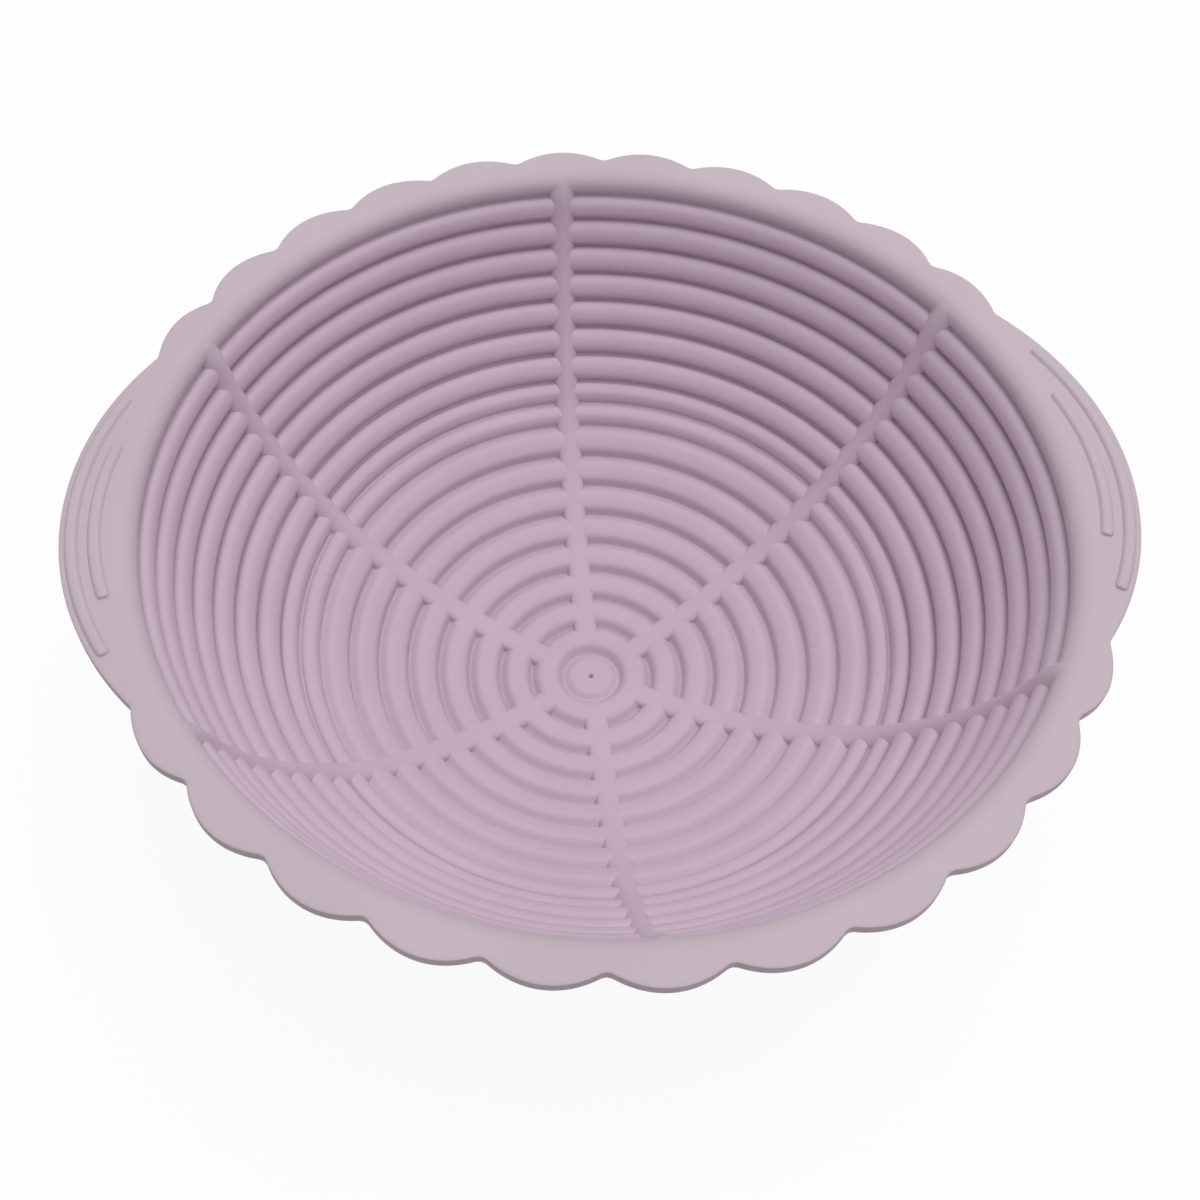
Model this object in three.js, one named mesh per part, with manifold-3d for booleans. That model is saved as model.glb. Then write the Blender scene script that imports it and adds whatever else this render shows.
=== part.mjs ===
import * as THREE from "three";
import { mergeVertices } from "three/addons/utils/BufferGeometryUtils.js";
import Module from "manifold-3d";

const wasm = await Module();
wasm.setup();
const { Manifold, Mesh } = wasm;

// Silicone proofing basket, in millimetres. Z is up, the table is z = 0 and the handles point along X.

// The inner skin is a small flat centre and one arc, turned about Z.
const centreFlat = 7.7;
const arcRadius = 101.3;
const floorTop = 3.4;
const skinThickness = 2.6;

// Grooves are counted along the inner skin, from the centre out.
const firstGroove = 7.55;
const floorPitch = 8.52;
const foldPitch = 6.5;
const wallPitch = 7.72;
const floorCoils = 9;
const wallCoils = 8;
const grooveWidth = 2.3;
const coilHeight = 2.7;
const foldCoilHeight = 2.0;

// Stakes are the six radial beads that the coils run into.
const stakeCount = 6;
const stakeWidth = 5.4;
const stakeEdge = 1.1;
const floorStakeHeight = 3.1;
const wallStakeHeight = 3.7;
const stakeFirstCoil = 2;

// Rim: a rounded lip above the top groove, and a flat scalloped flange with two lobes for handles.
const lipRise = 5.16;
const lipRun = 2.45;
const flangeThickness = 3;
const flangeWidth = 7.1;
const scallopDepth = 3.3;
const scallopStep = 12;
const scallopsPerSide = 11;
const lobeReachOut = 5.7;
const lobeCornerIn = 1.2;

// Handles bend along a straight line across each lobe.
const bendOut = 2.4;
const gripHeight = 0.7;
const gripWidth = 2.4;
const gripInsets = { outer: 3.0, inner: 7.6 };

const footCoil = 5;
const footWidth = 4.5;
const buttonRadius = 5.8;
const buttonHeight = 1.3;
const dimpleRadius = 0.7;
const dimpleDepth = 0.9;

const gap = 0.3;
const turnSegments = 36;
const arcSegments = 10;

const group = new THREE.Group();
const lilac = 0xc2aec0;

function solid(geometry) {
  const plain = geometry.clone();
  plain.deleteAttribute("normal");
  plain.deleteAttribute("uv");
  const merged = mergeVertices(plain, 1e-4);
  return new Manifold(
    new Mesh({
      numProp: 3,
      vertProperties: merged.attributes.position.array,
      triVerts: new Uint32Array(merged.index.array),
    }),
  );
}

function addNode(name, body) {
  const mesh = body.getMesh();
  const geometry = new THREE.BufferGeometry();
  geometry.setAttribute("position", new THREE.BufferAttribute(mesh.vertProperties, 3));
  geometry.setIndex(new THREE.BufferAttribute(mesh.triVerts, 1));
  geometry.computeVertexNormals();
  const material = new THREE.MeshStandardMaterial({ color: lilac, roughness: 0.75 });
  const node = new THREE.Mesh(geometry, material);
  node.name = name;
  group.add(node);
}

// Turns a closed profile of [radius, height] points about Z.
function turned(points, segments = turnSegments) {
  let area = 0;
  points.forEach(([r, z], i) => {
    const [rNext, zNext] = points[(i + 1) % points.length];
    area += r * zNext - rNext * z;
  });
  const loop = area > 0 ? [...points] : [...points].reverse();
  loop.push(loop[0]);
  const profile = loop.map(([r, z]) => new THREE.Vector2(r, z));
  return solid(new THREE.LatheGeometry(profile, segments).rotateX(Math.PI / 2));
}

function prism(shape, bottom, height) {
  const plain = { depth: height, bevelEnabled: false, curveSegments: arcSegments };
  const geometry = new THREE.ExtrudeGeometry(shape, plain);
  return solid(geometry.translate(0, 0, bottom));
}

function block(from, to) {
  const size = to.map((value, i) => value - from[i]);
  const middle = to.map((value, i) => (value + from[i]) / 2);
  return solid(new THREE.BoxGeometry(...size).translate(...middle));
}

// A point of the inner skin, lifted off it towards the inside of the bowl.
function skinPoint(along, lift = 0) {
  const turn = Math.max(0, (along - centreFlat) / arcRadius);
  const flat = Math.min(along, centreFlat);
  const r = flat + (arcRadius - lift) * Math.sin(turn);
  const z = floorTop + arcRadius - (arcRadius - lift) * Math.cos(turn);
  return [r, z];
}

function skinHeight(r, lift = 0) {
  const run = Math.max(0, r - centreFlat);
  return floorTop + arcRadius - Math.sqrt((arcRadius - lift) ** 2 - run ** 2);
}

const grooves = [firstGroove];
for (let coil = 1; coil <= floorCoils + wallCoils; coil += 1) {
  const besideFold = coil === floorCoils || coil === floorCoils + 1;
  const pitch = besideFold ? foldPitch : coil < floorCoils ? floorPitch : wallPitch;
  grooves.push(grooves[coil - 1] + pitch);
}
const foldGroove = grooves[floorCoils];
const topGroove = grooves[grooves.length - 1];
const foldRadius = skinPoint(foldGroove)[0];
const [topRadius, topHeight] = skinPoint(topGroove);
const flangeTop = topHeight + lipRise;
const flangeBottom = flangeTop - flangeThickness;
const lipRadius = topRadius + lipRun;
const tipRadius = lipRadius + flangeWidth;
const cuspRadius = tipRadius - scallopDepth;

// The half-round crest of one coil, from its outer foot to its inner foot.
function crest(coil, base, grow = 0) {
  const from = grooves[coil - 1];
  const to = grooves[coil];
  const half = (to - from - grooveWidth) / 2 + grow;
  const besideFold = coil === floorCoils || coil === floorCoils + 1;
  const height = (besideFold ? foldCoilHeight : coilHeight) + grow - base;
  return [0, 45, 90, 135, 180].map((degrees) => {
    const angle = THREE.MathUtils.degToRad(degrees);
    return skinPoint((from + to) / 2 + half * Math.cos(angle), base + height * Math.sin(angle));
  });
}

// A bar along the skin under the +X axis, with its long edges eased by edge.
function stakeBar(from, to, low, high, steps, edge = 0) {
  const lows = [];
  const highs = [];
  for (let i = 0; i <= steps; i += 1) {
    const along = from + ((to - from) * i) / steps;
    lows.push(skinPoint(along, low + edge));
    highs.unshift(skinPoint(along, high - edge));
  }
  const shape = new THREE.Shape([...lows, ...highs].map(([r, z]) => new THREE.Vector2(r, z)));
  const geometry = new THREE.ExtrudeGeometry(shape, {
    depth: stakeWidth - 2 * edge,
    bevelEnabled: edge > 0,
    bevelThickness: edge,
    bevelSize: edge,
    bevelSegments: 1,
  });
  return solid(geometry.translate(0, 0, edge - stakeWidth / 2).rotateX(Math.PI / 2));
}

// Stakes stand every 60 degrees, the first on the +Y axis.
const stakeAngles = Array.from({ length: stakeCount }, (_, i) => 90 + (360 / stakeCount) * i);

// Floor: nine rings with upright sides that slide past each other, round a centre disc.
const discRadius = skinPoint(firstGroove)[0] - gap / 2;
addNode(
  "centre_disc",
  turned(
    [
      [0, floorTop - skinThickness],
      [discRadius, floorTop - skinThickness],
      [discRadius, floorTop],
      [buttonRadius + 0.6, floorTop],
      [buttonRadius, floorTop + buttonHeight * 0.6],
      [buttonRadius - 0.9, floorTop + buttonHeight],
      [dimpleRadius, floorTop + buttonHeight],
      [dimpleRadius * 0.6, floorTop + buttonHeight - dimpleDepth],
      [0, floorTop + buttonHeight - dimpleDepth],
    ],
    18,
  ),
);

for (let coil = 1; coil <= floorCoils; coil += 1) {
  const inner = skinPoint(grooves[coil - 1])[0] + gap / 2;
  const outer = skinPoint(grooves[coil])[0] - gap / 2;
  let ring = turned([
    [inner, skinHeight(inner, -skinThickness)],
    [outer, skinHeight(outer, -skinThickness)],
    [outer, skinHeight(outer)],
    ...crest(coil, 0),
    [inner, skinHeight(inner)],
  ]);
  if (coil >= stakeFirstCoil) {
    const bar = stakeBar(grooves[coil - 1] - foldPitch, grooves[coil] + foldPitch, -1, floorStakeHeight, 1);
    const sleeve = turned([[inner, -5], [outer, -5], [outer, flangeTop], [inner, flangeTop]]);
    for (const angle of stakeAngles) ring = ring.add(bar.rotate([0, 0, angle]).intersect(sleeve));
  }
  addNode("floor_coil_" + coil, ring);
}

const footMiddle = skinPoint((grooves[footCoil - 1] + grooves[footCoil]) / 2)[0];
const footIn = footMiddle - footWidth / 2;
const footOut = footMiddle + footWidth / 2;
addNode(
  "foot_ring",
  turned([
    [footIn, 0],
    [footOut, 0],
    [footOut, skinHeight(footIn, -skinThickness) - gap],
    [footIn, skinHeight(footIn, -skinThickness) - gap],
  ]),
);

// Wall: a thin shell that carries the other coils and the upper lengths of the stakes.
const shellSteps = 5;
const shellBottom = foldRadius + gap / 2;
const shellIn = [];
const shellOut = [];
for (let i = 1; i <= shellSteps; i += 1) {
  const along = foldGroove + ((topGroove - foldGroove) * i) / shellSteps;
  shellIn.push(skinPoint(along));
  shellOut.unshift(skinPoint(along, -skinThickness));
}
addNode(
  "bowl_wall_shell",
  turned([
    [shellBottom, skinHeight(shellBottom)],
    ...shellIn,
    ...shellOut,
    [shellBottom, skinHeight(shellBottom, -skinThickness)],
  ]),
);

let wallCoilRoom = null;
for (let coil = floorCoils + 1; coil <= floorCoils + wallCoils; coil += 1) {
  addNode("wall_coil_" + (coil - floorCoils), turned(crest(coil, gap)));
  const room = turned(crest(coil, -gap, gap));
  wallCoilRoom = wallCoilRoom ? wallCoilRoom.add(room) : room;
}

// Each wall stake starts on the crest of the lowest wall coil, clear of the rings that rise inside it.
const stakeStart = crest(floorCoils + 1, 0)[2][0];
const foldPlug = turned([[0, 0], [stakeStart, 0], [stakeStart, flangeTop], [0, flangeTop]]);
const wallTop = topGroove + gap;
const wallBar = stakeBar(foldGroove - foldPitch, wallTop, gap, wallStakeHeight, shellSteps, stakeEdge);
stakeAngles.forEach((angle, i) => {
  const stake = wallBar.rotate([0, 0, angle]).subtract(foldPlug).subtract(wallCoilRoom);
  addNode("wall_stake_" + (i + 1), stake);
});

// Rim outline: eleven scallops on each long side, and a round lobe at each end.
// Each lobe is the arc through its two corners and its furthest point.
const scallopSpan = (scallopsPerSide * scallopStep) / 2;
const lobeHalf = THREE.MathUtils.degToRad(90 - scallopSpan);
const lobeReach = tipRadius + lobeReachOut;
const cornerRadius = tipRadius - lobeCornerIn;
const lobeCentre =
  (lobeReach ** 2 - cornerRadius ** 2) / (2 * (lobeReach - cornerRadius * Math.cos(lobeHalf)));
const lobeRadius = lobeReach - lobeCentre;

function lobePoint(polar) {
  const cos = Math.cos(polar);
  const r = lobeCentre * cos + Math.sqrt(lobeRadius ** 2 - (lobeCentre * Math.sin(polar)) ** 2);
  return [r * cos, r * Math.sin(polar)];
}

const outline = [];
for (const side of [0, 180]) {
  const spin = THREE.MathUtils.degToRad(side);
  const place = (x, y) => {
    const turnedX = x * Math.cos(spin) - y * Math.sin(spin);
    const turnedY = x * Math.sin(spin) + y * Math.cos(spin);
    outline.push(new THREE.Vector2(turnedX, turnedY));
  };
  for (let i = 0; i < arcSegments; i += 1) {
    place(...lobePoint(-lobeHalf + (2 * lobeHalf * i) / arcSegments));
  }
  for (let k = 0; k < scallopsPerSide; k += 1) {
    for (let i = 0; i < 4; i += 1) {
      const across = -1 + i / 2;
      const atCorner = (k === 0 && across < 0) || (k === scallopsPerSide - 1 && across > 0);
      const dip = tipRadius - (atCorner ? cornerRadius : cuspRadius);
      const degrees = 90 - scallopSpan + scallopStep * (k + (across + 1) / 2);
      const angle = THREE.MathUtils.degToRad(degrees);
      const r = tipRadius - dip * across ** 2;
      place(r * Math.cos(angle), r * Math.sin(angle));
    }
  }
}
const plate = prism(new THREE.Shape(outline), flangeBottom, flangeThickness);

const lipFrom = wallTop;
const lipFoot = skinPoint(lipFrom);
const lipBack = skinPoint(lipFrom, -skinThickness);
const bendRadius = flangeThickness / 2;
const bendLine = lipRadius + bendOut;
const flangeEdge = bendLine - bendRadius - gap;
const lip = turned([
  lipFoot,
  [lipFoot[0] + 0.25 * lipRun, flangeTop - 0.55 * lipRise],
  [lipFoot[0] + 0.55 * lipRun, flangeTop - 0.18 * lipRise],
  [lipRadius, flangeTop],
  [bendLine, flangeTop],
  [bendLine, flangeBottom],
  [lipBack[0] + gap, flangeBottom],
  lipBack,
]);
const mouthRadius = (lipRadius + bendLine) / 2;
const bowlMouth = turned([[0, 0], [mouthRadius, 0], [mouthRadius, 2 * flangeTop], [0, 2 * flangeTop]]);
const acrossFlange = block([-flangeEdge, -2 * tipRadius, 0], [flangeEdge, 2 * tipRadius, 2 * flangeTop]);
addNode("rim_flange", plate.subtract(bowlMouth).add(lip).intersect(acrossFlange));

// Handles: the ends of the lobes, with a half-round edge at the bend.
const bendHalf = Math.sqrt(lobeRadius ** 2 - (bendLine - lobeCentre) ** 2);

function gripShape(inset) {
  // A grip bar stops where its inner edge would cross the bend.
  const middle = lobeRadius - inset;
  const swing = Math.acos((bendLine + gap - lobeCentre) / (middle - gripWidth / 2));
  const shape = new THREE.Shape();
  shape.absarc(lobeCentre, 0, middle + gripWidth / 2, -swing, swing, false);
  shape.absarc(lobeCentre, 0, middle - gripWidth / 2, swing, -swing, true);
  return shape;
}

for (const [side, angle] of [["right", 0], ["left", 180]]) {
  const beyondBend = block([bendLine, -2 * lobeRadius, 0], [2 * lobeReach, 2 * lobeRadius, 2 * flangeTop]);
  const bendEdge = solid(
    new THREE.CylinderGeometry(bendRadius, bendRadius, 2 * bendHalf - gap, 12).translate(
      bendLine,
      0,
      flangeBottom + bendRadius,
    ),
  );
  addNode(side + "_handle", plate.intersect(beyondBend).add(bendEdge).rotate([0, 0, angle]));
  for (const which of ["outer", "inner"]) {
    const grip = prism(gripShape(gripInsets[which]), flangeTop + gap, gripHeight);
    addNode(side + "_grip_" + which, grip.rotate([0, 0, angle]));
  }
}

export default group;
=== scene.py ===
import math

import bmesh
import bpy
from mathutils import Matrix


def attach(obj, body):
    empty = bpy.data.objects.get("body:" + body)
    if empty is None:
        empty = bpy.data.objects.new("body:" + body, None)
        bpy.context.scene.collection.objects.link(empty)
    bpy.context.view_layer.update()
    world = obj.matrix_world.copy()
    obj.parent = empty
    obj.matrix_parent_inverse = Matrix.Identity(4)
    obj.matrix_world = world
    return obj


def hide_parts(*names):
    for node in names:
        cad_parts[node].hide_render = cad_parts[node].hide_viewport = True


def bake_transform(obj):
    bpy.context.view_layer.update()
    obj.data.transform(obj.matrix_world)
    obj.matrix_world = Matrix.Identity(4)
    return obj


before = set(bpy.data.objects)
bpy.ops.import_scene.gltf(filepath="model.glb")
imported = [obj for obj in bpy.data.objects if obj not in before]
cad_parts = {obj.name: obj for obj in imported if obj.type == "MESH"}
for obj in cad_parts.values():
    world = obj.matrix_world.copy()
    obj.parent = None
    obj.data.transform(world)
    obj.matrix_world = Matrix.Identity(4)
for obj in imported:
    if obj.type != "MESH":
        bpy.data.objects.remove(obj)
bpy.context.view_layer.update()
mm = 0.001
tiny = 1e-6


# what every piece shares: the line of the bowl's inside, and the coils along it, in mm
bowl = {
    "centreFlat": 7.7,      # flat middle, then one arc up to the lip
    "arcRadius": 101.3,
    "floorTop": 3.4,
    "skin": 2.6,
    "firstGroove": 7.55,
    "floorPitch": 8.52,
    "foldPitch": 6.5,       # the two narrow coils beside the fold
    "wallPitch": 7.72,
    "floorCoils": 9,
    "wallCoils": 8,
    "footCoil": 5,          # the foot stands under this one
    "turnSteps": 360,
}
coilCount = bowl["floorCoils"] + bowl["wallCoils"]


# a point (radius, height), given how far along the bowl's line it is and how high it stands on the skin
def skinPoint(along, lift):
    turn = max(0.0, (along - bowl["centreFlat"]) / bowl["arcRadius"])
    reach = bowl["arcRadius"] - lift
    radius = min(along, bowl["centreFlat"]) + reach * math.sin(turn)
    return radius, bowl["floorTop"] + bowl["arcRadius"] - reach * math.cos(turn)


# a point on the outside, given its radius and its depth below the inside
def underPoint(radius, depth):
    reach = bowl["arcRadius"] + depth
    out = max(0.0, radius - bowl["centreFlat"])
    return radius, bowl["floorTop"] + bowl["arcRadius"] - math.sqrt(reach ** 2 - out ** 2)


# coils are counted from 1 at the centre; these two lie beside the fold
def isNarrow(coil):
    return coil in (bowl["floorCoils"], bowl["floorCoils"] + 1)


def listGrooves():
    grooves = [bowl["firstGroove"]]
    for coil in range(1, coilCount + 1):
        plain = bowl["floorPitch"] if coil < bowl["floorCoils"] else bowl["wallPitch"]
        grooves.append(grooves[-1] + (bowl["foldPitch"] if isNarrow(coil) else plain))
    return grooves


grooves = listGrooves()
foldAlong = grooves[bowl["floorCoils"]]
topAlong = grooves[-1]
foldRadius = skinPoint(foldAlong, 0)[0]
topRadius, topHeight = skinPoint(topAlong, 0)


def clearSelection():
    if bpy.context.object and bpy.context.object.mode != "OBJECT":
        bpy.ops.object.mode_set(mode="OBJECT")
    bpy.ops.object.select_all(action="DESELECT")


def selectOnly(piece):
    clearSelection()
    piece.select_set(True)
    bpy.context.view_layer.objects.active = piece


# a circle whose vertices are set on the points; left in edit mode
def startLoop(name, points, closed=True):
    clearSelection()
    bpy.ops.mesh.primitive_circle_add(vertices=len(points), fill_type="NOTHING", enter_editmode=True)
    piece = bpy.context.object
    piece.name = piece.data.name = name
    mesh = bmesh.from_edit_mesh(piece.data)
    mesh.verts.ensure_lookup_table()
    for vert, point in zip(mesh.verts, points):
        vert.co = [value * mm for value in point]
    if not closed:
        mesh.edges.remove(mesh.edges.get((mesh.verts[0], mesh.verts[-1])))
    bmesh.update_edit_mesh(piece.data)
    bpy.ops.mesh.select_all(action="SELECT")
    return piece


cleanUp = {"weld": 0.000002, "collapse": 0.000001}


def tidyFaces():
    bpy.ops.mesh.select_all(action="SELECT")
    bpy.ops.mesh.remove_doubles(threshold=cleanUp["weld"])
    bpy.ops.mesh.dissolve_degenerate(threshold=cleanUp["collapse"])
    bpy.ops.mesh.select_all(action="SELECT")
    bpy.ops.mesh.normals_make_consistent(inside=False)


# a section of (radius, height) turned once round the middle
def turnSection(name, section, closed=True):
    piece = startLoop(name, [(radius, 0, height) for radius, height in section], closed)
    bpy.ops.mesh.spin(steps=bowl["turnSteps"], angle=2 * math.pi, center=(0, 0, 0), axis=(0, 0, 1))
    tidyFaces()
    bpy.ops.object.mode_set(mode="OBJECT")
    return piece


# loops of the same count of points, extruded one from the next; left in edit mode
def extrudeLoops(name, loops, capped=True):
    piece = startLoop(name, loops[0])
    if capped:
        bpy.ops.mesh.edge_face_add()
    for loop in loops[1:]:
        if capped:
            bpy.ops.mesh.extrude_region()
        else:
            bpy.ops.mesh.extrude_edges_indiv()
        mesh = bmesh.from_edit_mesh(piece.data)
        moved = [vert for vert in mesh.verts if vert.select]
        for vert, point in zip(moved, loop):
            vert.co = [value * mm for value in point]
        bmesh.update_edit_mesh(piece.data)
    return piece


def finishPiece(piece, finish, nodes, body=None, angle=38):
    selectOnly(piece)
    bpy.ops.object.shade_smooth_by_angle(angle=math.radians(angle))
    piece.data.materials.clear()
    piece.data.materials.append(finish)
    if body:
        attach(piece, body)
    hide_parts(*nodes)


# the silicone: one matte lilac, with painted shade that makes it darker and greyer from the top coil up
# over the lip and flange
grainLook = {
    "patch": 0.03,          # slow patches of tone, as pigment settles
    "patchScale": 26,
    "patchDetail": 3,
    "patchFrom": 0.3,
    "patchTo": 0.7,
    "grainDetail": 4,       # fine texture of the mould
    "grainRoughness": 0.6,
    "matteSpread": 0.12,
}
siliconeLook = {
    "bodyColor": (0.602, 0.467, 0.573),
    # painted shade: the darker, greyer colour of the top coil's upper side, the lip and the flange
    "paintedShadeColor": (0.545, 0.448, 0.508),
    "lipFrom": 0.0780,      # heights in metres between which the lilac turns into the painted shade colour
    "paintedShadeTo": 0.0858,
    "ior": 1.41,
    "specular": 0.5,
    "sheen": 0.06,
    "bumpDistance": 0.0002,
}


def makeGrainGroup():
    group = bpy.data.node_groups.new("mouldGrain", "ShaderNodeTree")
    for name, kind in (
        ("Tone", "NodeSocketColor"),
        ("Patch", "NodeSocketFloat"),
        ("Matte", "NodeSocketFloat"),
        ("Grain", "NodeSocketFloat"),
    ):
        group.interface.new_socket(name=name, in_out="INPUT", socket_type=kind)
    for name, kind in (
        ("Color", "NodeSocketColor"),
        ("Roughness", "NodeSocketFloat"),
        ("Height", "NodeSocketFloat"),
    ):
        group.interface.new_socket(name=name, in_out="OUTPUT", socket_type=kind)
    nodes, links = group.nodes, group.links
    source = nodes.new("NodeGroupInput")
    result = nodes.new("NodeGroupOutput")
    place = nodes.new("ShaderNodeTexCoord")
    cloud = nodes.new("ShaderNodeTexNoise")
    cloud.inputs["Scale"].default_value = grainLook["patchScale"]
    cloud.inputs["Detail"].default_value = grainLook["patchDetail"]
    links.new(place.outputs["Object"], cloud.inputs["Vector"])
    spread = nodes.new("ShaderNodeMapRange")
    spread.inputs["From Min"].default_value = grainLook["patchFrom"]
    spread.inputs["From Max"].default_value = grainLook["patchTo"]
    spread.inputs["To Min"].default_value = -1
    links.new(cloud.outputs["Fac"], spread.inputs["Value"])
    amount = nodes.new("ShaderNodeMath")
    amount.operation = "MULTIPLY_ADD"
    amount.inputs[2].default_value = 1
    links.new(spread.outputs["Result"], amount.inputs[0])
    links.new(source.outputs["Patch"], amount.inputs[1])
    tint = nodes.new("ShaderNodeHueSaturation")
    links.new(amount.outputs["Value"], tint.inputs["Value"])
    links.new(source.outputs["Tone"], tint.inputs["Color"])
    links.new(tint.outputs["Color"], result.inputs["Color"])
    grain = nodes.new("ShaderNodeTexNoise")
    grain.inputs["Detail"].default_value = grainLook["grainDetail"]
    grain.inputs["Roughness"].default_value = grainLook["grainRoughness"]
    links.new(place.outputs["Object"], grain.inputs["Vector"])
    links.new(source.outputs["Grain"], grain.inputs["Scale"])
    links.new(grain.outputs["Fac"], result.inputs["Height"])
    rough = nodes.new("ShaderNodeMath")
    rough.operation = "MULTIPLY_ADD"
    rough.inputs[1].default_value = grainLook["matteSpread"]
    links.new(grain.outputs["Fac"], rough.inputs[0])
    links.new(source.outputs["Matte"], rough.inputs[2])
    links.new(rough.outputs["Value"], result.inputs["Roughness"])
    return group


mouldGrain = makeGrainGroup()


def makeSilicone(name, matte, grainScale, bumpStrength):
    finish = bpy.data.materials.new(name)
    finish.use_nodes = True
    nodes, links = finish.node_tree.nodes, finish.node_tree.links
    shader = nodes["Principled BSDF"]
    shader.inputs["IOR"].default_value = siliconeLook["ior"]
    shader.inputs["Specular IOR Level"].default_value = siliconeLook["specular"]
    shader.inputs["Sheen Weight"].default_value = siliconeLook["sheen"]
    grain = nodes.new("ShaderNodeGroup")
    grain.node_tree = mouldGrain
    place = nodes.new("ShaderNodeTexCoord")
    # painted shade: the colour turns darker and greyer with height, over the top coil, the lip and the
    # flange
    axes = nodes.new("ShaderNodeSeparateXYZ")
    share = nodes.new("ShaderNodeMapRange")
    share.interpolation_type = "SMOOTHSTEP"
    share.inputs["From Min"].default_value = siliconeLook["lipFrom"]
    share.inputs["From Max"].default_value = siliconeLook["paintedShadeTo"]
    tone = nodes.new("ShaderNodeMix")
    tone.data_type = "RGBA"
    tone.inputs["A"].default_value = (*siliconeLook["bodyColor"], 1)
    tone.inputs["B"].default_value = (*siliconeLook["paintedShadeColor"], 1)
    links.new(place.outputs["Object"], axes.inputs["Vector"])
    links.new(axes.outputs["Z"], share.inputs["Value"])
    links.new(share.outputs["Result"], tone.inputs["Factor"])
    links.new(tone.outputs["Result"], grain.inputs["Tone"])
    grain.inputs["Patch"].default_value = grainLook["patch"]
    grain.inputs["Matte"].default_value = matte
    grain.inputs["Grain"].default_value = grainScale
    bump = nodes.new("ShaderNodeBump")
    bump.inputs["Strength"].default_value = bumpStrength
    bump.inputs["Distance"].default_value = siliconeLook["bumpDistance"]
    links.new(grain.outputs["Color"], shader.inputs["Base Color"])
    links.new(grain.outputs["Roughness"], shader.inputs["Roughness"])
    links.new(grain.outputs["Height"], bump.inputs["Height"])
    links.new(bump.outputs["Normal"], shader.inputs["Normal"])
    return finish


coilSilicone = makeSilicone("coilSilicone", matte=0.56, grainScale=1100, bumpStrength=0.25)
rimSilicone = makeSilicone("rimSilicone", matte=0.50, grainScale=1500, bumpStrength=0.18)
print("finishes ready")


# coils: flat crests and sloping sides on the floor, round on the wall
coilLook = {
    "floorGroove": 0.1,
    "wallGroove": 1.0,
    "floorHeight": 2.5,
    "height": 3.0,
    "foldHeight": 2.2,
    "topHeight": 2.6,
    "topPinch": 0.9,        # the uppermost coil is narrower
    "fullness": 2.35,
    "foldFullness": 2.2,
    "upright": 0.42,        # how far the coils beside the fold are kept from leaning
    "foot": 0.2,            # a small hollow at each foot of a wall coil
    "footShare": 0.3,
    "footLift": 0.09,
    "arcFrom": 5,           # degrees
    "arcSteps": 20,
    "settle": 0.02,         # a wall coil is let into the wall
    "rootIn": 0.6,
    "rootDepth": 0.8,
    "ripple": 0.6,          # the coils show a little on the outside
    "underSteps": 12,
    "endFrom": 1.6,         # where a coil starts to drop beside a stake, and over what length
    "endRun": 2.0,
    "endCrowd": 0.4,        # closer steps beside the stakes
    "endLeast": 0.05,       # lower points stay
    "floorShape": (         # from the crest to the foot: share of the width, share of the height
        (0, 1), (0.2, 0.99), (0.36, 0.962), (0.48, 0.915), (0.58, 0.84), (0.67, 0.72),
        (0.755, 0.55), (0.83, 0.37), (0.895, 0.2), (0.95, 0.08), (1, 0.02),
    ),
}

# stakes: level with the coils and square on the floor, rounder towards the fold and higher on the wall
stakeLook = {
    "count": 6,
    "floorHalf": 3.25,
    "wallHalf": 3.5,
    "floorHeight": 2.49,
    "wallHeight": 3.2,
    "floorFullness": 3.2,
    "wallFullness": 1.75,
    "floorDip": 0.02,       # how far a coil drops where it ends on a stake
    "wallDip": 0.08,
    "roundFrom": 56.0,
    "roundTo": 84.0,
    "riseFrom": 81.0,
    "riseTo": 95.0,
    "firstAlong": 12.9,
    "overlap": 3,
    "floorStep": 1.5,
    "wallStep": 1.6,
    "belowLip": 4.4,
    "sink": 1.2,
    "roundSteps": 18,
    "lipEnd": (             # it melts into the lip: way past the top groove, height
        (-3.4, 3.2), (-2.4, 3.12), (-1.4, 2.98), (-0.4, 2.78), (0.6, 2.52), (1.4, 2.27),
        (2.2, 1.98), (2.9, 1.65), (3.5, 1.2), (4.0, 0.6),
    ),
}


# the way across, from -1 to 1, and the height, from 0 to 1; more fullness gives squarer shoulders
def roundTop(turn, fullness):
    side = abs(math.cos(turn)) ** (2 / fullness) * (-1 if math.cos(turn) > 0 else 1)
    return side, math.sin(turn) ** (2 / fullness)


# (along, lift) across one coil
def coilTop(coil):
    start, end = grooves[coil - 1], grooves[coil]
    onFloor = coil < bowl["floorCoils"]
    if coil == coilCount:
        end -= coilLook["topPinch"]
    half = (end - start - coilLook["floorGroove" if onFloor else "wallGroove"]) / 2
    middle = (start + end) / 2
    if onFloor:
        side = [(middle + half * out, coilLook["floorHeight"] * up) for out, up in coilLook["floorShape"]]
        inner = [(2 * middle - along, lift) for along, lift in reversed(side[1:])]
        return inner + side
    height, fullness = coilLook["height"], coilLook["fullness"]
    if isNarrow(coil):
        height, fullness = coilLook["foldHeight"], coilLook["foldFullness"]
    elif coil == coilCount:
        height = coilLook["topHeight"]
    foot = coilLook["foot"]
    hollow = foot * coilLook["footShare"]
    top = [(middle - half - foot, 0.0), (middle - half - hollow, coilLook["footLift"])]
    arc = 180 - 2 * coilLook["arcFrom"]
    for step in range(coilLook["arcSteps"] + 1):
        turn = math.radians(coilLook["arcFrom"] + arc * step / coilLook["arcSteps"])
        side, lift = roundTop(turn, fullness)
        top.append((middle + half * side, height * lift))
    top += [(middle + half + hollow, coilLook["footLift"]), (middle + half + foot, 0.0)]
    return top


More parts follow.
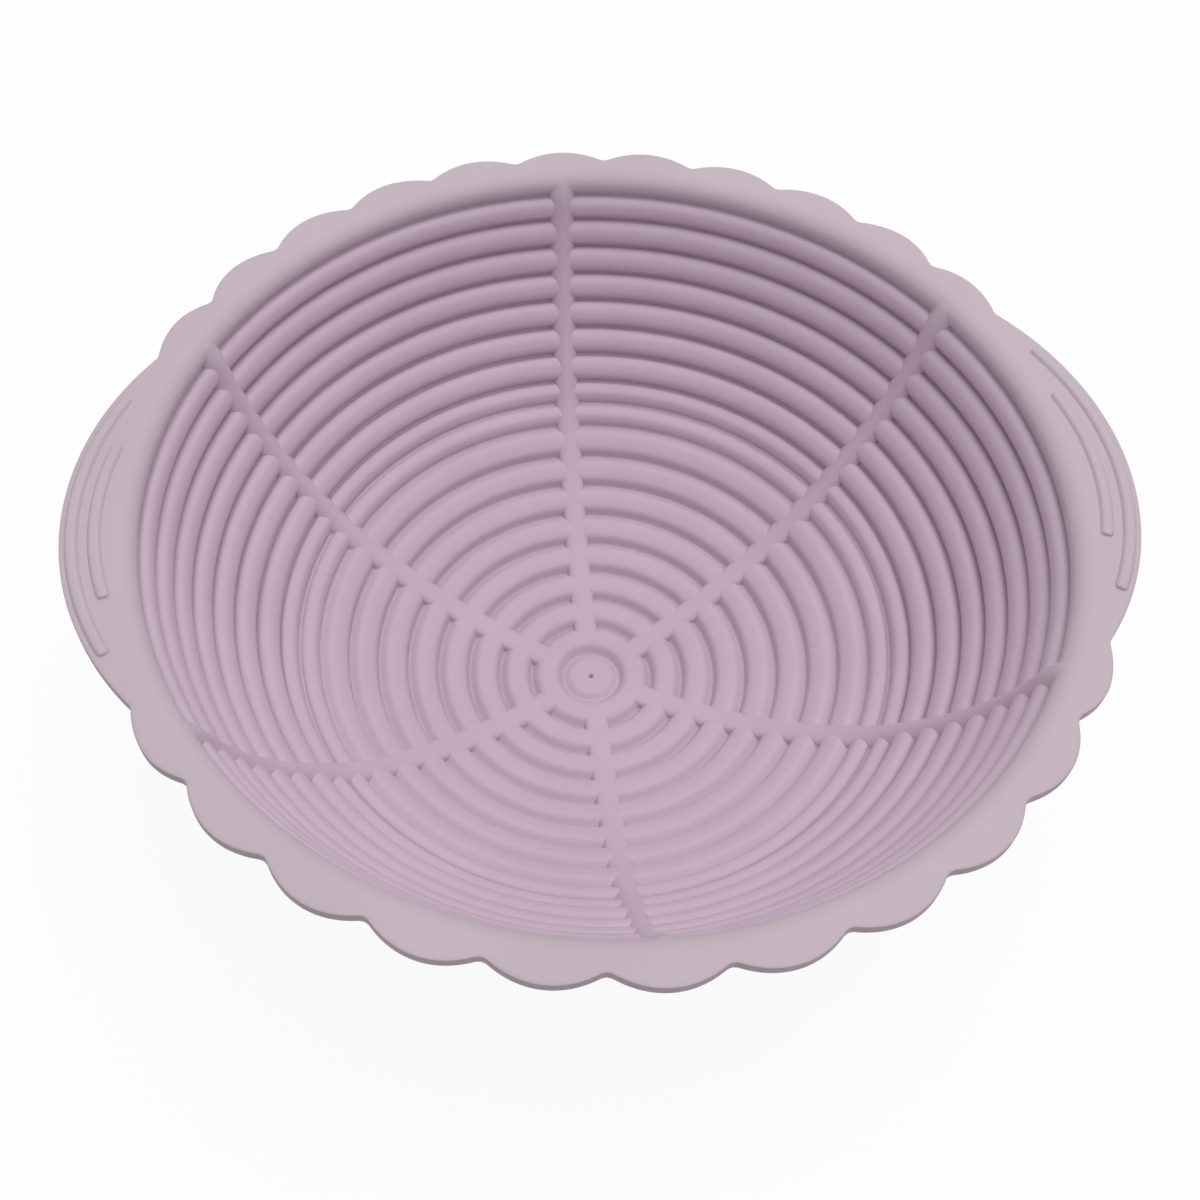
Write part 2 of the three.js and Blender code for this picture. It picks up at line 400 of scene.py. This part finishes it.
# the coils beside the fold lean less, so that neither hangs over the ring that comes up next to it
def coilPoint(coil, along, lift):
    radius, height = skinPoint(along, lift)
    if isNarrow(coil):
        foot = skinPoint(along, 0)[0]
        share = (along - grooves[coil - 1]) / (grooves[coil] - grooves[coil - 1])
        aside = min(1.0, abs(2 * share - 1))
        radius = foot + (radius - foot) * (1 - coilLook["upright"] * aside)
    return radius, height


# how thick the skin is at a share of the way across a coil
def skinDepth(share):
    return bowl["skin"] + coilLook["ripple"] * math.sin(math.pi * share) ** 2


# one of a stake's values, eased from the floor's to the wall's
def stakeValue(along, name, change="round"):
    start, end = stakeLook[change + "From"], stakeLook[change + "To"]
    share = min(1.0, max(0.0, (along - start) / (end - start)))
    share = share * share * (3 - 2 * share)
    low, high = stakeLook["floor" + name], stakeLook["wall" + name]
    return low + share * (high - low)


# one half-round section of the stake that lies along +Y
def stakeLoop(along, height=None):
    height = height or stakeValue(along, "Height", "rise")
    half = stakeValue(along, "Half")
    fullness = stakeValue(along, "Fullness")
    loop = []
    for step in range(stakeLook["roundSteps"] + 1):
        side, lift = roundTop(math.pi * (1 - step / stakeLook["roundSteps"]), fullness)
        loop.append((half * side, height * lift))
    loop += [(-half, -stakeLook["sink"]), (half, -stakeLook["sink"])]
    return [(side, *skinPoint(along, lift)) for side, lift in loop]


def stepsBetween(start, end, step):
    count = max(2, math.ceil((end - start) / step))
    return [start + (end - start) * i / count for i in range(count + 1)]


def cutUpright(radius, keepInner):
    bpy.ops.mesh.select_all(action="SELECT")
    bpy.ops.mesh.bisect(
        plane_co=(0, radius * mm, 0),
        plane_no=(0, 1, 0),
        use_fill=True,
        clear_outer=keepInner,
        clear_inner=not keepInner,
    )


# crowds a ring's steps towards the stakes, and lowers its crest beside them
def softenEnds(ring):
    centre = bowl["floorTop"] + bowl["arcRadius"]
    sector = 2 * math.pi / stakeLook["count"]
    crowd = coilLook["endCrowd"]
    for vert in ring.data.vertices:
        x, y, z = (value / mm for value in vert.co)
        radius, azimuth = math.hypot(x, y), math.atan2(y, x) - math.pi / 2
        nearest = sector * round(azimuth / sector)
        share = 2 * (azimuth - nearest) / sector
        turned = sector / 2 * share * (crowd + (1 - crowd) * share * share)
        x, y = -radius * math.sin(nearest + turned), radius * math.cos(nearest + turned)
        vert.co = (x * mm, y * mm, z * mm)
        out, down = radius - bowl["centreFlat"], centre - z
        lift = bowl["arcRadius"] - math.hypot(out, down)
        aside = radius * abs(math.sin(turned)) - coilLook["endFrom"]
        share = max(0.0, 1 - max(0.0, aside) / coilLook["endRun"])
        if lift < coilLook["endLeast"] or share == 0:
            continue
        along = bowl["centreFlat"] + bowl["arcRadius"] * math.atan2(out, down)
        dip = stakeValue(along, "Dip")
        pull = 1 + lift * dip * share * share / (bowl["arcRadius"] - lift)
        moved = bowl["centreFlat"] + out * pull
        vert.co = (x * moved / radius * mm, y * moved / radius * mm, (centre - down * pull) * mm)


# a ring of the floor: its coil, its skin and its lengths of the six stakes
def floorCoil(coil):
    start, end = skinPoint(grooves[coil - 1], 0), skinPoint(grooves[coil], 0)
    section = [start] + [coilPoint(coil, *point) for point in coilTop(coil)] + [end]
    for i in range(coilLook["underSteps"] + 1):
        share = 1 - i / coilLook["underSteps"]
        depth = bowl["skin"] if coil == bowl["footCoil"] else skinDepth(share)
        section.append(underPoint(start[0] + share * (end[0] - start[0]), depth))
    ring = turnSection(f"floorCoil{coil}", section)
    if coil > 1:
        softenEnds(ring)
    # the stakes are cut upright where the rings slide past each other
    first = max(grooves[coil - 1] - stakeLook["overlap"], stakeLook["firstAlong"])
    last = grooves[coil] + stakeLook["overlap"]
    loops = [stakeLoop(along) for along in stepsBetween(first, last, stakeLook["floorStep"])]
    stake = extrudeLoops("stakeLength", loops)
    if coil > 1:
        cutUpright(start[0], False)
    cutUpright(end[0], True)
    tidyFaces()
    copies = stakeLook["count"] - 1
    bpy.ops.mesh.spin(
        steps=copies,
        dupli=True,
        center=(0, 0, 0),
        axis=(0, 0, 1),
        angle=2 * math.pi * copies / stakeLook["count"],
    )
    bpy.ops.object.mode_set(mode="OBJECT")
    selectOnly(ring)
    stake.select_set(True)
    bpy.ops.object.join()
    finishPiece(ring, coilSilicone, [f"floor_coil_{coil}"], f"floor_ring_{coil}")


for coil in range(1, bowl["floorCoils"] + 1):
    floorCoil(coil)
print("floor coils ready")


def wallCoil(number):
    coil = bowl["floorCoils"] + number
    top = [(along, lift - coilLook["settle"]) for along, lift in coilTop(coil)]
    inner, outer = top[0][0] + coilLook["rootIn"], top[-1][0] - coilLook["rootIn"]
    top += [(outer, -coilLook["rootDepth"]), (inner, -coilLook["rootDepth"])]
    ring = turnSection(f"wallCoil{number}", [coilPoint(coil, *point) for point in top])
    softenEnds(ring)
    finishPiece(ring, coilSilicone, [f"wall_coil_{number}"], "basket_wall")


for number in range(1, bowl["wallCoils"] + 1):
    wallCoil(number)
print("wall coils ready")


# the plain wall behind the wall coils
wallLook = {"pastTop": 0.6, "step": 1.5, "rippleSteps": 8, "foldGap": 0.3}


def bowlWall():
    alongs = stepsBetween(foldAlong, topAlong + wallLook["pastTop"], wallLook["step"])
    inside = [skinPoint(along, 0) for along in alongs]
    outside = []
    for coil in range(coilCount, bowl["floorCoils"], -1):
        for i in range(wallLook["rippleSteps"]):
            share = 1 - i / wallLook["rippleSteps"]
            along = grooves[coil - 1] + share * (grooves[coil] - grooves[coil - 1])
            point = skinPoint(along, -skinDepth(share))
            if point[0] > foldRadius + wallLook["foldGap"]:
                outside.append(point)
    outside.append(underPoint(foldRadius, bowl["skin"]))
    wall = turnSection("bowlWall", inside + outside)
    finishPiece(wall, coilSilicone, ["bowl_wall_shell"], "basket_wall")


bowlWall()


# the upper length of a stake, from the fold to the lip
def firstWallStake():
    start, end = foldAlong - stakeLook["overlap"], topAlong - stakeLook["belowLip"]
    loops = [stakeLoop(along) for along in stepsBetween(start, end, stakeLook["wallStep"])]
    loops += [stakeLoop(topAlong + past, height) for past, height in stakeLook["lipEnd"]]
    stake = extrudeLoops("wallStake1", loops)
    cutUpright(foldRadius, False)
    tidyFaces()
    bpy.ops.object.mode_set(mode="OBJECT")
    return stake


def copyStake(model, number):
    selectOnly(model)
    bpy.ops.object.duplicate()
    stake = bpy.context.object
    stake.name = stake.data.name = f"wallStake{number}"
    stake.rotation_euler[2] = 2 * math.pi * (number - 1) / stakeLook["count"]
    bpy.ops.object.transform_apply(location=True, rotation=True, scale=True)
    return stake


stakes = [firstWallStake()]
for number in range(2, stakeLook["count"] + 1):
    stakes.append(copyStake(stakes[0], number))
for number, stake in enumerate(stakes, 1):
    finishPiece(stake, coilSilicone, [f"wall_stake_{number}"], "basket_wall")
print("wall and stakes ready")


# the rim: a round lip, then a flat flange with scallops and two lobes for handles
rimLook = {
    "lipRun": 2.45,
    "lipRise": 5.16,
    "width": 7.1,
    "thick": 3.0,
    "round": 0.5,           # of the flange's edge, cut in two steps
    "roundShare": 0.3,
    "scallopDepth": 3.3,
    "scallopStep": 12,      # degrees
    "sideScallops": 11,
    "cuspSoft": 0.9,        # the cusps are a little round from here on
    "lobeReachOut": 5.7,
    "lobeCornerIn": 2.2,
    "lobeMore": 1.2,        # degrees that a lobe takes from the scallop beside it
    "azimuthSteps": 720,
    "bendFrom": 0.1095,     # the handle's hinge lies between these, in metres along X
    "bendTo": 0.1140,
    "lipShape": (           # past the top groove: out, up
        (2.5, -0.9), (-0.02, -0.45), (-0.6, -0.2), (-1.0, 0.25), (-1.23, 0.95), (-1.26, 1.7), (-1.1, 2.5),
        (-0.68, 3.25), (-0.02, 3.92), (0.8, 4.47), (1.7, 4.86), (2.6, 5.09), (3.4, 5.16),
    ),
    "flatShares": (0.15, 0.3, 0.45, 0.6, 0.75, 0.9, 1),
    "underShares": (0.75, 0.5, 0.25, 0),
    "back": 5.1,            # where the underside turns down to the wall
    "backShape": ((1.0, 0.25), (1.7, 0.9)),
    "backIn": 2.0,
    "backDown": 0.2,
}

flangeTop = topHeight + rimLook["lipRise"]
lipRadius = topRadius + rimLook["lipRun"]
tipRadius = lipRadius + rimLook["width"]
lobeReach = tipRadius + rimLook["lobeReachOut"]
cornerRadius = tipRadius - rimLook["lobeCornerIn"]
sideAngle = math.radians(90 - rimLook["scallopStep"] * rimLook["sideScallops"] / 2)
lobeAngle = sideAngle + math.radians(rimLook["lobeMore"])
lobeCentre = (lobeReach ** 2 - cornerRadius ** 2) / (2 * (lobeReach - cornerRadius * math.cos(lobeAngle)))
lobeRadius = lobeReach - lobeCentre


# the rim's outline: two lobes across X, and scallops between them
def rimReach(azimuth):
    fromSide = math.acos(min(1.0, abs(math.cos(azimuth))))
    if fromSide <= lobeAngle + tiny:
        aside = lobeCentre * math.sin(fromSide)
        return lobeCentre * math.cos(fromSide) + math.sqrt(lobeRadius ** 2 - aside ** 2)
    step = math.radians(rimLook["scallopStep"])
    share = (fromSide - sideAngle) / step
    if share < 1:
        share = (fromSide - lobeAngle) / (sideAngle + step - lobeAngle)
    aside, soft = abs(2 * (share - math.floor(share + tiny)) - 1), rimLook["cuspSoft"]
    if share < 0.5:         # the half scallop that ends on a lobe
        return tipRadius - (tipRadius - cornerRadius) * aside * aside
    dip = aside * aside
    if aside > soft:
        dip = soft * soft + 2 * soft * (aside - soft) * (1 - (aside - soft) / (2 * (1 - soft)))
    return tipRadius - rimLook["scallopDepth"] * dip / soft


def rimProfile(reach):
    bottom = flangeTop - rimLook["thick"]
    edge = rimLook["round"]
    bevel = edge * rimLook["roundShare"]
    lip = [(topRadius + out, topHeight + up) for out, up in rimLook["lipShape"]]
    inner = lip[-1][0]
    flat = [(inner + (reach - edge - inner) * share, flangeTop) for share in rimLook["flatShares"]]
    side = [
        (reach - bevel, flangeTop - bevel),
        (reach, flangeTop - edge),
        (reach, bottom + edge),
        (reach - bevel, bottom + bevel),
        (reach - edge, bottom),
    ]
    back = topRadius + rimLook["back"]
    under = [(back + (reach - edge - back) * share, bottom) for share in rimLook["underShares"]]
    under += [(back - along, bottom - down) for along, down in rimLook["backShape"]]
    under.append((back - rimLook["backIn"], topHeight - rimLook["backDown"]))
    return lip + flat + side + under


def rimHalf(name, side, nodes):
    count = rimLook["azimuthSteps"]
    azimuths = [2 * math.pi * i / count for i in range(count)]
    profiles = [rimProfile(rimReach(azimuth)) for azimuth in azimuths]
    loops = []
    for level in zip(*profiles):
        loops.append([
            (radius * math.cos(azimuth), radius * math.sin(azimuth), height)
            for azimuth, (radius, height) in zip(azimuths, level)
        ])
    piece = extrudeLoops(name, loops + [loops[0]], capped=False)
    tidyFaces()
    bpy.ops.mesh.bisect(plane_co=(0, 0, 0), plane_no=(side, 0, 0), use_fill=True, clear_inner=True)
    tidyFaces()
    bpy.ops.object.mode_set(mode="OBJECT")
    finishPiece(piece, rimSilicone, nodes)
    bendRim(piece)


# bakes the piece's placement into its mesh
def bendRim(piece):
    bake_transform(piece)


rimHalf("rimRight", 1, ["rim_flange", "right_handle"])
rimHalf("rimLeft", -1, ["left_handle"])
print("rim ready")


# grip bars: low, with soft edges, bent with the edge of the handle
gripLook = {
    "width": 3.0,
    "height": 0.85,
    "outerInset": 2.7,
    "innerInset": 7.7,
    "outerSpan": 35.5,
    "innerSpan": 21.1,
    "root": -0.5,
    "edge": 0.02,
    # from the side inwards: way in, share of the height
    "rise": ((0.1, 0.14), (0.24, 0.42), (0.42, 0.7), (0.68, 0.9), (1.05, 1)),
    # from each end: way along, share of the width
    "ends": ((0, 0.55), (0.15, 0.8), (0.45, 0.95), (0.9, 1.0)),
    "endDrop": 0.8,
    "steps": 30,
    "smooth": 50,
}


def gripBar(name, side, inset, span, node):
    radius = lobeRadius - inset
    half, high = gripLook["width"] / 2, gripLook["height"]
    reach = math.asin(span / radius)
    rise = [(0, gripLook["root"]), (0, gripLook["edge"])]
    rise += [(back, high * share) for back, share in gripLook["rise"]]
    outline = [(back - half, up) for back, up in rise]
    outline += [(half - back, up) for back, up in reversed(rise)]
    length, steps = 2 * reach * radius, gripLook["steps"]
    places = list(gripLook["ends"])
    places += [(length * i / steps, 1.0) for i in range(1, steps)]
    places += [(length - back, wide) for back, wide in reversed(gripLook["ends"])]
    loops = []
    for back, wide in places:
        turn = -reach + back / radius
        drop = high * (1 - wide) * gripLook["endDrop"]
        loop = []
        for out, up in outline:
            away = radius + out * wide
            lift = up if up < 0 else max(0.0, up - drop)
            across = side * (lobeCentre + away * math.cos(turn))
            loop.append((across, away * math.sin(turn), flangeTop + lift))
        loops.append(loop)
    bar = extrudeLoops(name, loops)
    tidyFaces()
    bpy.ops.object.mode_set(mode="OBJECT")
    finishPiece(bar, rimSilicone, [node], angle=gripLook["smooth"])
    bendRim(bar)


for side, hand in ((1, "right"), (-1, "left")):
    for row in ("outer", "inner"):
        name = f"grip{row.title()}{hand.title()}"
        inset, span = gripLook[row + "Inset"], gripLook[row + "Span"]
        gripBar(name, side, inset, span, f"{hand}_grip_{row}")
print("grips ready")


# the centre disc, with its button and dimple
discLook = {
    "dimple": 0.6,
    "dimpleDepth": 1.8,
    "dimpleSide": ((0.55, 1.62), (0.9, 0.3), (1.25, 0.04)),     # share of the radius, down
    "top": (                # radius, up
        (1.5, 1.06), (2.8, 1.14), (4.0, 1.22), (4.8, 1.24), (5.3, 1.18), (5.75, 1.03), (6.15, 0.81),
        (6.5, 0.56), (6.85, 0.31), (7.15, 0.12), (7.4, 0.03),
    ),
    "rimLift": 0.02,
    "underFlat": 4,
}


def centreDisc():
    floor, high = bowl["floorTop"], discLook["top"][0][1]
    top = [(0, high - discLook["dimpleDepth"])]
    top += [(discLook["dimple"] * share, high - down) for share, down in discLook["dimpleSide"]]
    section = [(radius, floor + lift) for radius, lift in (*top, *discLook["top"])]
    section += [skinPoint(grooves[0], discLook["rimLift"]), underPoint(grooves[0], bowl["skin"])]
    section += [(discLook["underFlat"], floor - bowl["skin"]), (0, floor - bowl["skin"])]
    disc = turnSection("centreDisc", section, closed=False)
    finishPiece(disc, coilSilicone, ["centre_disc"], "floor_centre")


# the foot ring, let into the skin above it
footLook = {"inner": 42.74, "outer": 47.24, "round": 0.9, "roundShare": 0.3, "sink": 0.4}


def footRing():
    inner, outer, soft = footLook["inner"], footLook["outer"], footLook["round"]
    bevel = soft * footLook["roundShare"]
    section = [
        (inner, underPoint(inner, bowl["skin"])[1] + footLook["sink"]),
        (inner, soft),
        (inner + bevel, bevel),
        (inner + soft, 0),
        (outer - soft, 0),
        (outer - bevel, bevel),
        (outer, soft),
        (outer, underPoint(outer, bowl["skin"])[1] + footLook["sink"]),
    ]
    ring = turnSection("footRing", section)
    finishPiece(ring, coilSilicone, ["foot_ring"], f"floor_ring_{bowl['footCoil']}")


centreDisc()
footRing()
print("disc and foot ready")


# a pale floor that looks white to the camera but throws less light back on the object
stageLook = {"size": 6.0, "white": (0.9, 0.9, 0.9), "bounce": (0.40, 0.40, 0.40), "glow": 0.93}
lightLook = {
    "sky": 0.44,
    "skySeen": 1.0,
    "key": 9.7,
    "keySize": 1.4,
    "keyFrom": (0.22, 0.06, 1.30),
    "fill": 1.1,
    "fillSize": 0.9,
    "fillFrom": (0.1, 0.9, 0.95),
}
cameraLook = {
    "place": (-0.03502, -0.20486, 0.35022),
    "turn": (33.8337, -0.937, -5.0054),     # degrees
    "lens": 44.455,
    "sensor": 36,
    "shiftX": 0.04233,
    "clipStart": 0.01,
}


# 1 for what the camera sees, straight or by reflection or through something, 0 for other light
def seenByRays(nodes, links):
    path = nodes.new("ShaderNodeLightPath")
    seen = path.outputs["Is Camera Ray"]
    for ray in ("Is Glossy Ray", "Is Transmission Ray"):
        either = nodes.new("ShaderNodeMath")
        either.operation = "MAXIMUM"
        links.new(seen, either.inputs[0])
        links.new(path.outputs[ray], either.inputs[1])
        seen = either.outputs["Value"]
    return seen


def makeStage():
    clearSelection()
    bpy.ops.mesh.primitive_plane_add(size=stageLook["size"], location=(0, 0, 0))
    floor = bpy.context.object
    floor.name = floor.data.name = "paleFloor"
    paint = bpy.data.materials.new("paleFloor")
    paint.use_nodes = True
    nodes, links = paint.node_tree.nodes, paint.node_tree.links
    nodes.remove(nodes["Principled BSDF"])
    matte = nodes.new("ShaderNodeBsdfDiffuse")
    seen = seenByRays(nodes, links)
    tone = nodes.new("ShaderNodeMix")
    tone.data_type = "RGBA"
    tone.inputs["A"].default_value = (*stageLook["bounce"], 1)
    tone.inputs["B"].default_value = (*stageLook["white"], 1)
    links.new(seen, tone.inputs["Factor"])
    links.new(tone.outputs["Result"], matte.inputs["Color"])
    glow = nodes.new("ShaderNodeEmission")
    share = nodes.new("ShaderNodeMath")
    share.operation = "MULTIPLY"
    share.inputs[1].default_value = stageLook["glow"]
    mix = nodes.new("ShaderNodeMixShader")
    links.new(seen, share.inputs[0])
    links.new(share.outputs["Value"], mix.inputs["Fac"])
    links.new(matte.outputs["BSDF"], mix.inputs[1])
    links.new(glow.outputs["Emission"], mix.inputs[2])
    links.new(mix.outputs["Shader"], nodes["Material Output"].inputs["Surface"])
    floor.data.materials.append(paint)


def makeLight():
    world = bpy.data.worlds.new("studio")
    bpy.context.scene.world = world
    world.use_nodes = True
    nodes, links = world.node_tree.nodes, world.node_tree.links
    sky = nodes["Background"]
    strength = nodes.new("ShaderNodeMapRange")
    strength.inputs["To Min"].default_value = lightLook["sky"]
    strength.inputs["To Max"].default_value = lightLook["skySeen"]
    sky.inputs["Color"].default_value = (1, 1, 1, 1)
    links.new(seenByRays(nodes, links), strength.inputs["Value"])
    links.new(strength.outputs["Result"], sky.inputs["Strength"])
    for name, which in (("softKey", "key"), ("farFill", "fill")):
        clearSelection()
        bpy.ops.object.light_add(type="AREA", location=lightLook[which + "From"])
        lamp = bpy.context.object
        lamp.name = name
        lamp.data.shape = "DISK"
        lamp.data.size = lightLook[which + "Size"]
        lamp.data.energy = lightLook[which]
        lamp.rotation_euler = (-lamp.location).to_track_quat("-Z", "Y").to_euler()


def makeCamera():
    clearSelection()
    turn = [math.radians(angle) for angle in cameraLook["turn"]]
    bpy.ops.object.camera_add(location=cameraLook["place"], rotation=turn)
    camera = bpy.context.object
    camera.data.lens = cameraLook["lens"]
    camera.data.sensor_width = cameraLook["sensor"]
    camera.data.shift_x = cameraLook["shiftX"]
    camera.data.clip_start = cameraLook["clipStart"]
    bpy.context.scene.camera = camera


makeStage()
makeLight()
makeCamera()
bpy.context.scene.view_settings.view_transform = "Standard"
print("stage, light and camera ready")
